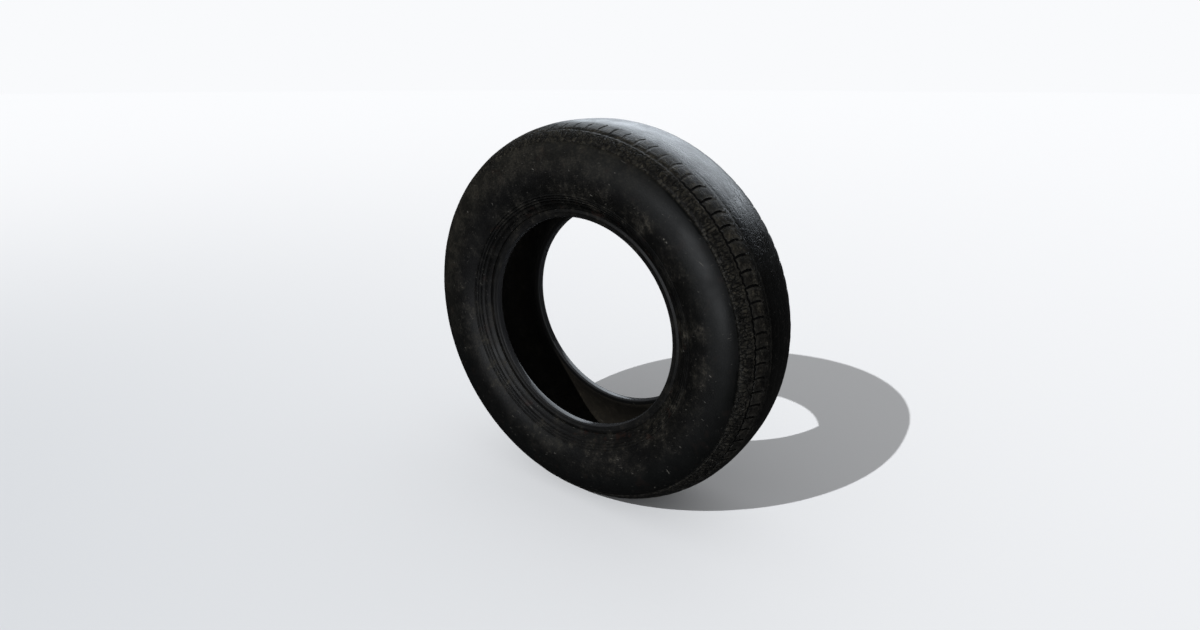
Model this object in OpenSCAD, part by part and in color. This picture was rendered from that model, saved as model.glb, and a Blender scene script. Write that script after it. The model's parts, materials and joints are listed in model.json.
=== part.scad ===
// Worn car tyre, standing on its tread with no rim.
//
// One rubber moulding: tread, shoulders, sidewalls and two beads around an open air space.
// Millimetres. The origin is the wheel centre, the wheel axis is Y and Z is up.
// The section is drawn once as a half outline, from the crown round to the inside of the
// tread, mirrored across the centre plane and turned round the wheel axis.

/* [Overall size] */
// Diameter across the tread
outer_d = 594; // [490:1:720]
// Width across the sidewalls at their widest
section_w = 170; // [140:1:210]
// Widest point of the sidewall, as a share of the height from bead to tread
widest_at = 0.534; // [0.45:0.002:0.6]
// Fullness of the shoulder, 2 is an ellipse and more is squarer
shoulder_power = 2.63; // [2.2:0.01:3.2]

/* [Beads] */
// Diameter of the bead bases, which grip the rim
seat_d = 328; // [270:1:395]
// Distance between the outer faces of the two beads, which is the width of the rim
rim_w = 117; // [96:1:142]
// Width of each bead, from its toe to its outer face
bead_w = 12; // [9:0.5:15]
// Radius of the rounded heel between the base and the outer face of a bead
heel_round = 5; // [3:0.5:7]
// Height of the outer face of a bead, up to the line where the rim's edge sat
rim_line_h = 13.5; // [11:0.5:17]
// How far the top of that face lies outside its foot
face_flare = 1.5; // [0.5:0.1:3]
// Height of the straight inner face of a bead
bead_inner_h = 8; // [5:0.5:12]
// Curve of the lower sidewall outside, 1 is a straight line
lower_power = 2; // [1.5:0.05:2.4]
// Curve of the lower sidewall inside
inner_lower_power = 1.7; // [1.5:0.05:2]

/* [Wall thickness] */
// Thickness under the crown, down to the air space
crown_t = 10.5; // [8:0.5:14]
// Thickness of the sidewall at its widest
side_t = 7; // [5:0.5:9]
// Fullness of the shoulder inside, less than outside, so the shoulder is thick
inner_shoulder_power = 2.3; // [2:0.01:2.6]

/* [Rings on the sidewall] */
// Number of fine raised rings above each bead
ring_count = 3; // [0:1:4]
// Height of the lowest ring above the rim line
ring_first_h = 13; // [6:0.5:20]
// Distance from one ring to the next
ring_step = 3.6; // [3:0.1:5]
// Width of a fine ring
ring_w = 1.4; // [0.8:0.1:2]
// Width of the raised line at the rim's edge
rim_line_w = 2.2; // [1:0.1:3]
// How far the rings and the rim line stand out
ring_out = 0.7; // [0.3:0.1:1.2]

/* [Worn tread] */
// Width of the smooth centre rib
centre_rib_w = 20; // [14:1:26]
// Width of the row of large blocks, across the tread
block_row_w = 28; // [18:1:32]
// Width of the shoulder band, from the last groove to the edge of the tread
shoulder_w = 16.5; // [12:0.5:20]
// How far the edge of the tread lies inside the widest point
tread_edge_in = 9; // [6:0.5:14]
// Width of a groove that runs round the tread
groove_w = 2.2; // [1:0.1:3]
// Depth left in a groove that runs round the tread
groove_d = 1.6; // [0.8:0.1:2.5]
// Distance round the tread from one cross groove to the next
pitch = 20.7; // [16:0.1:30]
// Width of a cross groove
cross_w = 3; // [1:0.1:4]
// Depth left in a cross groove
cross_d = 2.2; // [0.8:0.1:3]
// Length of a cross groove
cross_l = 20; // [12:0.5:24]
// Slant of the cross grooves, in degrees
cross_slant = 8; // [0:1:20]
// Width of the small step where the tread ends on the shoulder
edge_step_w = 1.6; // [0.8:0.1:2.4]
// Depth of that step
edge_step_d = 0.9; // [0.4:0.1:1.5]

/* [Resting] */
// Height of the flat spot that the tyre stands on
flat_spot_h = 2; // [1:0.1:3]

/* [Hidden] */
$fn = 180;
outer_steps = 16;  // points along each curve of the outside
inner_steps = 10;  // points along each curve of the inside
heel_steps = 4;

outer_r = outer_d / 2;
seat_r = seat_d / 2;
half_w = section_w / 2;
widest_r = seat_r + widest_at * (outer_r - seat_r);
inner_crown_r = outer_r - crown_t;
inner_half_w = half_w - side_t;
bead_out_y = rim_w / 2;
bead_in_y = bead_out_y - bead_w;
rim_line_r = seat_r + rim_line_h;
rim_line_y = bead_out_y + face_flare;

edge_y = half_w - tread_edge_in;
outer_groove_y = edge_y - shoulder_w;
inner_groove_y = outer_groove_y - block_row_w;
rib_groove_y = centre_rib_w / 2;
cross_in_y = outer_groove_y - cross_l;
cross_count = round(2 * PI * outer_r / pitch);

// Radius of a superelliptic shoulder at a distance y from the centre plane
function arch_r(y, half, crown, power) =
    widest_r + (crown - widest_r) * pow(max(0, 1 - pow(y / half, power)), 1 / power);
// Radius of the outside at a distance y from the centre plane
function tread_r(y) = arch_r(y, half_w, outer_r, shoulder_power);
// Slope of the tread there, in degrees from the wheel axis
function tread_slope(y) = atan2(tread_r(y - 0.5) - tread_r(y + 0.5), 1);
// Distance from the centre plane to a sidewall below its widest point, which comes in from
// half to end as the radius r falls to the end radius
function lower_y(r, half, end, end_r, power) =
    half - (half - end) * pow((widest_r - r) / (widest_r - end_r), power);
function side_y(r) = lower_y(r, half_w, rim_line_y, rim_line_r, lower_power);

// Outline points are [radius, distance from the centre plane], in order from the crown
function arch_points(half, crown, power, steps) = [
    for (i = [0:steps])
        let (a = 90 * i / steps)
        [
            widest_r + (crown - widest_r) * pow(cos(a), 2 / power),
            half * pow(sin(a), 2 / power)
        ]
];
function lower_points(half, end, end_r, power, steps) = [
    for (i = [1:steps])
        let (r = widest_r + (end_r - widest_r) * i / steps)
        [r, lower_y(r, half, end, end_r, power)]
];
heel_points = [
    for (i = [0:heel_steps])
        let (a = 90 * i / heel_steps)
        [seat_r + heel_round * (1 - sin(a)), bead_out_y - heel_round * (1 - cos(a))]
];
outside = concat(
    arch_points(half_w, outer_r, shoulder_power, outer_steps),
    lower_points(half_w, rim_line_y, rim_line_r, lower_power, outer_steps / 2),
    heel_points
);
inside = concat(
    arch_points(inner_half_w, inner_crown_r, inner_shoulder_power, inner_steps),
    lower_points(inner_half_w, bead_in_y, seat_r + bead_inner_h, inner_lower_power, inner_steps),
    [[seat_r, bead_in_y]]
);
function backwards(points) = [for (i = [len(points) - 1:-1:0]) points[i]];
function mirrored(points) = [for (p = points) [p[0], -p[1]]];

// The closed section: out over one side, back inside it, and the other side in return.
// The crown points lie on the centre plane and are used once each.
half_outline = concat(outside, backwards(inside));
other_half = backwards(mirrored(half_outline));
section_outline = concat(
    half_outline,
    [for (i = [1:len(other_half) - 2]) other_half[i]]
);

// One raised ring at radius r, in section, with its foot inside the wall
module ring_section(r, width) {
    translate([r, side_y(r)])
        rotate(atan2(side_y(r + 1) - side_y(r), 1))
            translate([-width / 2, -ring_out])
                square([width, 2 * ring_out]);
}

// One groove that runs round the tread at y, in section, square to the tread
module groove_section(y, width, depth) {
    translate([tread_r(y), y])
        rotate(tread_slope(y))
            translate([-depth, -width / 2])
                square([2 * depth, width]);
}

module half_rings() {
    ring_section(rim_line_r, rim_line_w);
    for (i = [0:1:ring_count - 1])
        ring_section(rim_line_r + ring_first_h + i * ring_step, ring_w);
}

module half_grooves() {
    groove_section(rib_groove_y, groove_w, groove_d);
    groove_section(inner_groove_y, groove_w, groove_d);
    groove_section(outer_groove_y, groove_w, groove_d);
    groove_section(edge_y, edge_step_w, edge_step_d);
}

module section() {
    difference() {
        union() {
            polygon(section_outline);
            half_rings();
            mirror([0, 1]) half_rings();
        }
        half_grooves();
        mirror([0, 1]) half_grooves();
    }
}

// One cross groove at the top of the tyre, from the outer groove in towards the centre
module cross_groove() {
    mid_y = (cross_in_y + outer_groove_y) / 2;
    drop = atan2(tread_r(cross_in_y) - tread_r(outer_groove_y), cross_l);
    translate([0, mid_y, (tread_r(cross_in_y) + tread_r(outer_groove_y)) / 2])
        rotate([-drop, 0, cross_slant])
            translate([-cross_w / 2, -cross_l / 2, -cross_d])
                cube([cross_w, cross_l, 4 * cross_d]);
}

// The cross grooves of one side, shifted round by a share of the pitch
module cross_grooves(shift) {
    for (i = [0:cross_count - 1])
        rotate([0, (i + shift) * 360 / cross_count, 0])
            cross_groove();
}

// What the floor presses flat at the foot of the tread
module below_floor() {
    translate([-outer_r, -section_w, -2 * outer_r + flat_spot_h])
        cube([outer_d, 2 * section_w, outer_r]);
}

module tyre() {
    color([0.09, 0.09, 0.09])
        difference() {
            rotate([90, 0, 0])
                rotate_extrude()
                    section();
            cross_grooves(0.5);
            mirror([0, 1, 0])
                cross_grooves(0);
            below_floor();
        }
}

tyre();
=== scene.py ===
"""Old worn car tyre, standing on its tread on a pale studio floor.

The tyre is one rubber moulding, so it is one closed mesh. Its section is drawn as rows of
points from the crown of the tread, over the shoulder and down the sidewall to the bead, and
back inside, and the rows are spun round the wheel axis. The tread has more columns than the
rest, because its worn grooves are cut into them.

Sizes in the classes are in millimetres and the finished mesh is in metres, in the frame of
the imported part: the origin is the wheel centre, the wheel axis is Y and Z is up.
"""

import json
import logging
import math
import random
from dataclasses import dataclass, field, fields
from enum import Enum

import bmesh
import bpy
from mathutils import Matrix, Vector, noise


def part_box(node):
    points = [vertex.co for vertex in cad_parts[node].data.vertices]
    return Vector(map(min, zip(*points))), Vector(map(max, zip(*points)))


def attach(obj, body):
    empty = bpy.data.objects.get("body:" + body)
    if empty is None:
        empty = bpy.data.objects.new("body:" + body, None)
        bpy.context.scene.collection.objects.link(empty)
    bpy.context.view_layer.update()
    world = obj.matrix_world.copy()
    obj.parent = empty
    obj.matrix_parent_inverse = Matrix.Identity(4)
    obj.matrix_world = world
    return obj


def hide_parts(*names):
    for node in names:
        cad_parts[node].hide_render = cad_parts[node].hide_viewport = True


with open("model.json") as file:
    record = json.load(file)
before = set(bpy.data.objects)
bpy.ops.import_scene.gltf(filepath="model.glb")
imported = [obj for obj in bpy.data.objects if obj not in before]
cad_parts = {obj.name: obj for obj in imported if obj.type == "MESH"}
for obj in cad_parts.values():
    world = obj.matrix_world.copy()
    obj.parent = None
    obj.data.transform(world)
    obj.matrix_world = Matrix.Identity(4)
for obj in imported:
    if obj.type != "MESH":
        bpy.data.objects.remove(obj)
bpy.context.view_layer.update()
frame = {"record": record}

NODE = "tyre"
BODY = "root"
MM = 0.001
# Distance round the tread from one cross groove to the next, in millimetres.
PITCH = 20.7

Socket = bpy.types.NodeSocket
Layer = bmesh.types.BMLayerItem
# The name of a mask, a number, or a mask that is made to run from one number to another.
Term = str | float | tuple[str, float, float]

log = logging.getLogger("worn_tyre")


def linear(hex_colour: str) -> tuple[float, float, float, float]:
    """Turn an sRGB hex colour into the linear colour that a socket holds.

    Args:
        hex_colour: A colour written as "#rrggbb".

    Returns:
        Linear red, green, blue and an alpha of 1.
    """
    channels = [int(hex_colour[i : i + 2], 16) / 255 for i in (1, 3, 5)]
    lin = [c / 12.92 if c <= 0.04045 else ((c + 0.055) / 1.055) ** 2.4 for c in channels]
    return (lin[0], lin[1], lin[2], 1.0)


def add_node(
    tree: bpy.types.NodeTree,
    kind: str,
    settings: dict[str, object] | None = None,
    inputs: dict[str | int, object] | None = None,
) -> bpy.types.Node:
    """Add one node, set its properties, and set or link its sockets.

    Args:
        tree: The node tree that gets the node.
        kind: The node's type name.
        settings: Property values by name.
        inputs: Socket values by name or number; an output socket is linked.

    Returns:
        The new node.
    """
    node = tree.nodes.new(kind)
    for name, value in (settings or {}).items():
        setattr(node, name, value)
    for key, value in (inputs or {}).items():
        if isinstance(value, bpy.types.NodeSocket):
            tree.links.new(value, node.inputs[key])
        else:
            node.inputs[key].default_value = value
    return node


def smooth(low: float, high: float, value: float) -> float:
    """Rise smoothly from 0 at low to 1 at high.

    Args:
        low: Where the rise starts.
        high: Where it ends.
        value: The place asked about.

    Returns:
        A share from 0 to 1.
    """
    share = min(1.0, max(0.0, (value - low) / (high - low)))
    return share * share * (3 - 2 * share)


def direction(azimuth: float, elevation: float) -> Vector:
    """Direction from the wheel centre to a place round it.

    Args:
        azimuth: Degrees round the tyre, from +X towards +Y.
        elevation: Degrees above the wheel centre.

    Returns:
        A vector of length 1.
    """
    around, up = math.radians(azimuth), math.radians(elevation)
    flat = math.cos(up)
    return Vector((flat * math.cos(around), flat * math.sin(around), math.sin(up)))


class Zone(Enum):
    """The parts of the section past the tread, in order from the shoulder to the inside."""

    BUTTRESS = "buttress"
    SIDEWALL = "sidewall"
    RINGS = "rings"
    RIM_LINE = "rim_line"
    RIM_FACE = "rim_face"
    HEEL = "heel"
    SEAT = "seat"
    INSIDE = "inside"


class Cut(Enum):
    """What the columns of a tread row are spaced for."""

    PLAIN = "plain"
    BLOCK = "block"
    SHOULDER = "shoulder"


class Lay(Enum):
    """How a pattern lies on the rubber: through it, or round the tyre along its section."""

    SOLID = "solid"
    RING = "ring"


@dataclass(frozen=True)
class Row:
    """One row of the half section, which becomes a hoop of vertices."""

    radius: float
    offset: float
    zone: Zone
    along: float = 0.0


@dataclass(frozen=True)
class TreadRow:
    """One row of the tread, at a distance from the centre plane."""

    offset: float
    cut: Cut = Cut.PLAIN
    depth: float = 0.0
    zigzag: float = 0.0


@dataclass(frozen=True)
class TyreSection:
    """Half section of the tyre in millimetres.

    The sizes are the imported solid's, except that the heel is fuller, the toe is rounded, the
    rings are lower, and a low band and a ring on the bead's face are added.
    """

    outer_r: float
    half_w: float
    seat_r: float
    seat_half_length: float
    widest_at: float = 0.534
    shoulder_power: float = 2.63
    bead_w: float = 12.0
    # How far the outer face of a bead lies past the straight part of the solid's base.
    heel_out: float = 5.0
    heel_round: float = 3.0
    rim_line_h: float = 13.5
    face_flare: float = 1.5
    bead_inner_h: float = 8.0
    toe_round: float = 1.2
    lower_power: float = 2.0
    inner_lower_power: float = 1.7
    crown_t: float = 10.5
    side_t: float = 7.0
    inner_shoulder_power: float = 2.3
    tread_edge_in: float = 9.0
    edge_step_w: float = 1.6
    buttress_steps: int = 8
    ring_first_h: float = 13.0
    ring_step: float = 3.6
    ring_count: int = 3
    ring_w: float = 1.4
    ring_out: float = 0.45
    band_h: float = 8.0
    band_w: float = 3.2
    band_out: float = 0.35
    rim_line_w: float = 2.2
    face_ring_h: float = 8.0
    face_ring_w: float = 1.4
    face_ring_out: float = 0.3

    @property
    def widest_r(self) -> float:
        """Radius of the widest point of the sidewall."""
        return self.seat_r + self.widest_at * (self.outer_r - self.seat_r)

    @property
    def edge_y(self) -> float:
        """Distance from the centre plane to the edge of the tread."""
        return self.half_w - self.tread_edge_in

    @property
    def bead_out_y(self) -> float:
        """Distance from the centre plane to the outer face of a bead."""
        return self.seat_half_length + self.heel_out

    @property
    def bead_in_y(self) -> float:
        """Distance from the centre plane to the inner face of a bead."""
        return self.bead_out_y - self.bead_w

    @property
    def rim_line_r(self) -> float:
        """Radius of the line where the edge of the rim sat."""
        return self.seat_r + self.rim_line_h

    def arch_r(self, offset: float, half: float, crown: float, power: float) -> float:
        """Radius of a superelliptic arch over the widest point.

        Args:
            offset: Distance from the centre plane.
            half: Distance at which the arch meets the widest point.
            crown: Radius of the arch at the centre plane.
            power: Fullness, where 2 is an ellipse.

        Returns:
            The radius there.
        """
        rest = max(0.0, 1 - (abs(offset) / half) ** power)
        return self.widest_r + (crown - self.widest_r) * rest ** (1 / power)

    def tread_r(self, offset: float) -> float:
        """Radius of the outside at a distance from the centre plane."""
        return self.arch_r(offset, self.half_w, self.outer_r, self.shoulder_power)

    def tread_slope(self, offset: float) -> float:
        """Angle of the tread to the wheel axis there, in radians."""
        return math.atan2(self.tread_r(offset - 0.5) - self.tread_r(offset + 0.5), 1.0)

    def lower_y(
        self, radius: float, half: float, end: float, end_r: float, power: float
    ) -> float:
        """Distance from the centre plane to a wall below its widest point.

        Args:
            radius: Where on the wall.
            half: Distance at the widest point.
            end: Distance at the foot of the wall.
            end_r: Radius of the foot.
            power: Curve of the wall, where 1 is straight.

        Returns:
            The distance there.
        """
        share = (self.widest_r - radius) / (self.widest_r - end_r)
        return half - (half - end) * share**power

    def side_y(self, radius: float) -> float:
        """Distance from the centre plane to the outside of the sidewall."""
        end = self.bead_out_y + self.face_flare
        return self.lower_y(radius, self.half_w, end, self.rim_line_r, self.lower_power)

    def raised(self, radius: float, out: float) -> tuple[float, float]:
        """Place a point that stands out square from the sidewall.

        Args:
            radius: Radius of the foot of the point.
            out: How far it stands out.

        Returns:
            Its radius and its distance from the centre plane.
        """
        slope = self.side_y(radius + 0.5) - self.side_y(radius - 0.5)
        size = math.hypot(1.0, slope)
        return radius - out * slope / size, self.side_y(radius) + out / size

    def ring(self, radius: float, width: float, out: float, zone: Zone) -> list[Row]:
        """Rows over one raised ring with rounded shoulders.

        Args:
            radius: Middle of the ring.
            width: Its width at the foot.
            out: How far it stands out.
            zone: The zone that the rows belong to.

        Returns:
            Four rows, from the outer foot to the inner foot.
        """
        lean = 0.25 * width
        steps = ((0.5 * width, 0.0), (0.5 * width - lean, out))
        steps += ((lean - 0.5 * width, out), (-0.5 * width, 0.0))
        return [Row(*self.raised(radius + shift, height), zone) for shift, height in steps]

    def arch(
        self, half: float, crown: float, power: float, first: float, steps: int, zone: Zone
    ) -> list[Row]:
        """Rows along an arch, from a starting distance out to the widest point.

        Args:
            half: Distance from the centre plane at the widest point.
            crown: Radius at the centre plane.
            power: Fullness of the arch.
            first: Distance from the centre plane of the first row.
            steps: Number of steps to the widest point.
            zone: The zone that the rows belong to.

        Returns:
            The rows, one more than the steps.
        """
        start = math.asin((first / half) ** (power / 2))
        rows = []
        for step in range(steps + 1):
            angle = start + (math.pi / 2 - start) * step / steps
            offset = half * math.sin(angle) ** (2 / power)
            height = max(0.0, math.cos(angle)) ** (2 / power)
            radius = self.widest_r + (crown - self.widest_r) * height
            rows.append(Row(radius, offset, zone))
        return rows

    def sidewall_rows(self) -> list[Row]:
        """Rows from just below the widest point down to the line at the rim's edge.

        Returns:
            The rows, over the fine rings, the low band and the line.
        """
        ring_top = self.rim_line_r + self.ring_first_h + (self.ring_count - 1) * self.ring_step
        rows = []
        for share in (0.16, 0.32, 0.48, 0.64, 0.8, 0.93):
            radius = self.widest_r + (ring_top - self.widest_r) * share
            rows.append(Row(radius, self.side_y(radius), Zone.SIDEWALL))
        for index in reversed(range(self.ring_count)):
            middle = self.rim_line_r + self.ring_first_h + index * self.ring_step
            rows += self.ring(middle, self.ring_w, self.ring_out, Zone.RINGS)
        band_r = self.rim_line_r + self.band_h
        rows += self.ring(band_r, self.band_w, self.band_out, Zone.RINGS)
        rows += self.ring(self.rim_line_r, self.rim_line_w, self.ring_out, Zone.RIM_LINE)
        return rows

    def bead_rows(self) -> list[Row]:
        """Rows down the outer face of a bead, round its heel and over its base.

        Returns:
            The rows, ending at the top of the straight inner face.
        """
        top_r = self.rim_line_r - self.rim_line_w
        heel_r = self.seat_r + self.heel_round
        ring_r = self.seat_r + self.face_ring_h
        half = self.face_ring_w / 2
        rows = []
        for radius, out in (
            (top_r, 0.0),
            (ring_r + half, 0.0),
            (ring_r + 0.4 * half, self.face_ring_out),
            (ring_r - 0.4 * half, self.face_ring_out),
            (ring_r - half, 0.0),
        ):
            share = (radius - heel_r) / (self.rim_line_r - heel_r)
            flare = self.face_flare * share
            rows.append(Row(radius, self.bead_out_y + flare + out, Zone.RIM_FACE))
        for angle in (0.0, 22.5, 45.0, 67.5, 90.0):
            lean = math.radians(angle)
            radius = self.seat_r + self.heel_round * (1 - math.sin(lean))
            offset = self.bead_out_y - self.heel_round * (1 - math.cos(lean))
            rows.append(Row(radius, offset, Zone.HEEL))
        toe = self.bead_in_y
        rows.append(Row(self.seat_r, toe + 3 * self.toe_round, Zone.SEAT))
        rows.append(Row(self.seat_r, toe + self.toe_round, Zone.SEAT))
        rows.append(Row(self.seat_r + self.toe_round, toe, Zone.INSIDE))
        rows.append(Row(self.seat_r + self.bead_inner_h, toe, Zone.INSIDE))
        return rows

    def inside_rows(self, steps: int = 7) -> list[Row]:
        """Rows up the inside of the sidewall and over to the crown.

        Args:
            steps: Number of steps along each of the two curves.

        Returns:
            The rows, ending on the centre plane.
        """
        half = self.half_w - self.side_t
        foot_r = self.seat_r + self.bead_inner_h
        rows = []
        for step in range(1, steps + 1):
            radius = foot_r + (self.widest_r - foot_r) * step / steps
            offset = self.lower_y(radius, half, self.bead_in_y, foot_r, self.inner_lower_power)
            rows.append(Row(radius, offset, Zone.INSIDE))
        crown = self.outer_r - self.crown_t
        arch = self.arch(half, crown, self.inner_shoulder_power, 0.0, steps, Zone.INSIDE)
        return rows + arch[-2::-1]

    def casing_rows(self, start: float) -> list[Row]:
        """Rows of the half section from the step at the tread's edge to the inner crown.

        Args:
            start: Distance along the section from the crown to the first row.

        Returns:
            The rows, each with its distance along the section.
        """
        first, steps = self.edge_y + self.edge_step_w / 2, self.buttress_steps
        rows = self.arch(
            self.half_w, self.outer_r, self.shoulder_power, first, steps, Zone.BUTTRESS
        )
        rows += self.sidewall_rows() + self.bead_rows() + self.inside_rows()
        along = start
        placed = []
        for before, row in zip([rows[0]] + rows, rows):
            along += math.hypot(row.radius - before.radius, row.offset - before.offset)
            placed.append(Row(row.radius, row.offset, row.zone, along))
        return placed


@dataclass(frozen=True)
class TreadPattern:
    """Worn tread pattern: grooves round the tyre, cross grooves and shoulder sipes."""

    pitches: int
    # Grooves that run round the tyre. Only a share is left of the two inner ones.
    rib_half: float = 10.0
    block_row_w: float = 28.0
    shoulder_w: float = 16.5
    groove_w: float = 2.2
    groove_d: float = 1.6
    wall_lean: float = 0.3
    edge_round: float = 0.25
    rib_left: float = 0.06
    rib_zigzag: float = 0.8
    inner_left: float = 0.12
    inner_zigzag: float = 2.4
    outer_zigzag: float = 3.6
    # Cross grooves, and the low dome of the block between two of them.
    cross_w: float = 3.0
    cross_d: float = 2.2
    cross_l: float = 20.0
    cross_slant: float = 8.0
    cross_bow: float = 2.2
    cross_lead: float = 1.2
    cross_starts: tuple[float, ...] = (-1.0, -0.5, -0.5, -0.5)
    cross_left: tuple[float, float] = (0.75, 1.0)
    block_clear: float = 3.0
    block_dome: float = 0.3
    # Sipes in the shoulder, some bent into ovals and some linked to the next one.
    sipes_per_pitch: int = 4
    sipe_half_w: float = 0.62
    sipe_d: float = 1.0
    sipe_jitter: float = 0.8
    sipe_end_gap: float = 0.7
    oval_share: float = 0.4
    oval_bend: float = 1.6
    oval_inset: float = 1.0
    link_share: float = 0.45
    link_reach: float = 1.6
    link_depth: float = 0.8
    sipe_short_by: tuple[float, ...] = (0.0, 0.0, 2.5, 5.0)
    sipe_overrun: float = 1.0
    sipe_bend: float = 0.5
    sipe_lean: float = 1.2
    sipe_left: tuple[float, float] = (0.6, 1.1)
    wiggle_span: float = 500.0
    step_w: float = 1.6
    step_d: float = 0.9
    # Share of a groove's painted shade that the step at the tread's edge gets.
    step_dark: float = 0.35
    # Wear: the least that is left of a depth, the top arc that is worn almost smooth, which
    # starts and is full at these heights in shares of the radius, and the low sag.
    worn_low: float = 0.5
    worn_levels: tuple[float, float] = (-0.45, 0.3)
    flat_worn: float = 0.7
    flat_arc: tuple[float, float] = (0.66, 0.88)
    sag: float = 0.25
    # Depth in millimetres at which a groove's painted shade is full.
    dark_from: float = 1.0
    columns_per_pitch: int = 14
    seed: int = 7

    @property
    def columns(self) -> int:
        """Number of columns of vertices round the tread."""
        return self.pitches * self.columns_per_pitch

    def half_rows(self, edge_y: float) -> list[TreadRow]:
        """Rows from the centre plane out to the foot of the step at the tread's edge.

        Args:
            edge_y: Distance from the centre plane to the edge of the tread.

        Returns:
            The rows of one side, the first on the centre plane.
        """
        outer_y = edge_y - self.shoulder_w
        inner_y = outer_y - self.block_row_w
        block_y = outer_y - self.cross_l
        half = self.groove_w / 2
        rows = [TreadRow(0.0)]

        def groove(middle: float, before: Cut, after: Cut, left: float, sway: float) -> None:
            """Add the four rows of a groove, whose walls are flatter where less is left.

            Args:
                middle: Distance of the groove from the centre plane.
                before: What the columns of its inner two rows are spaced for.
                after: What the columns of its outer two rows are spaced for.
                left: Share of its depth that is left.
                sway: How far it zigzags.
            """
            edge, floor = self.edge_round * left, self.groove_d * left
            lean = self.wall_lean / math.sqrt(left)
            rows.append(TreadRow(middle - half - lean, before, edge, sway))
            rows.append(TreadRow(middle - half, before, floor, sway))
            rows.append(TreadRow(middle + half, after, floor, sway))
            rows.append(TreadRow(middle + half + lean, after, edge, sway))

        groove(self.rib_half, Cut.PLAIN, Cut.PLAIN, self.rib_left, self.rib_zigzag)
        rows.append(TreadRow(self.rib_half + (inner_y - self.rib_half) / 3))
        rows.append(TreadRow(self.rib_half + (inner_y - self.rib_half) * 2 / 3))
        groove(inner_y, Cut.PLAIN, Cut.PLAIN, self.inner_left, self.inner_zigzag)
        rows.append(TreadRow(block_y - self.cross_lead, Cut.BLOCK))
        for share in (0.0, 0.25, 0.5, 0.75):
            rows.append(TreadRow(block_y + share * self.cross_l, Cut.BLOCK))
        groove(outer_y, Cut.BLOCK, Cut.SHOULDER, 1.0, self.outer_zigzag)
        foot_y = edge_y - self.step_w / 2
        for share in (0.2, 0.4, 0.6, 0.8):
            rows.append(TreadRow(outer_y + share * (foot_y - outer_y), Cut.SHOULDER))
        rows.append(TreadRow(foot_y - self.wall_lean, Cut.SHOULDER))
        rows.append(TreadRow(foot_y, Cut.SHOULDER, self.step_d))
        rows.append(TreadRow(edge_y + self.step_w / 2 - self.wall_lean, Cut.PLAIN, self.step_d))
        return rows


@dataclass(frozen=True)
class Sipe:
    """One fine cut in the shoulder, which strays a little and tapers at its ends."""

    centre: float
    start: float
    end: float
    depth: float
    bend: float
    lean: float
    link: float
    wiggle: float
    stray: float = 0.9
    wave: float = 0.3
    taper: float = 1.5

    def shift(self, offset: float) -> float:
        """How far the cut strays round the tyre.

        Args:
            offset: Distance from the centre plane.

        Returns:
            The distance in millimetres.
        """
        middle = (self.start + self.end) / 2
        share = max(-0.5, min(0.5, (offset - middle) / (self.end - self.start)))
        stray = self.stray * noise.noise(Vector((self.wiggle, offset * self.wave, 0.0)))
        return self.bend * (2 * share) ** 2 + self.lean * share + stray

    def depth_at(self, offset: float) -> float:
        """Depth of the cut at a distance from the centre plane."""
        inside = min(offset - self.start, self.end - offset)
        return self.depth * min(1.0, max(0.0, inside / self.taper))


def even(size: float) -> tuple[float, float, float]:
    """The same size along all three axes."""
    return (size, size, size)


def off(mask: str) -> tuple[str, float, float]:
    """The term that stands for all that a mask leaves out."""
    return (mask, 1.0, 0.0)


@dataclass(frozen=True)
class Marks:
    """One noise on the rubber, whose marks have a real size in millimetres along each axis.

    Where it has levels, it is cut between them into a mask.
    """

    size: tuple[float, float, float]
    detail: float
    rough: float = 0.5
    levels: tuple[float, float] | None = None
    turn: tuple[float, float, float] = (0.0, 0.0, 0.0)
    lay: Lay = Lay.SOLID


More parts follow.
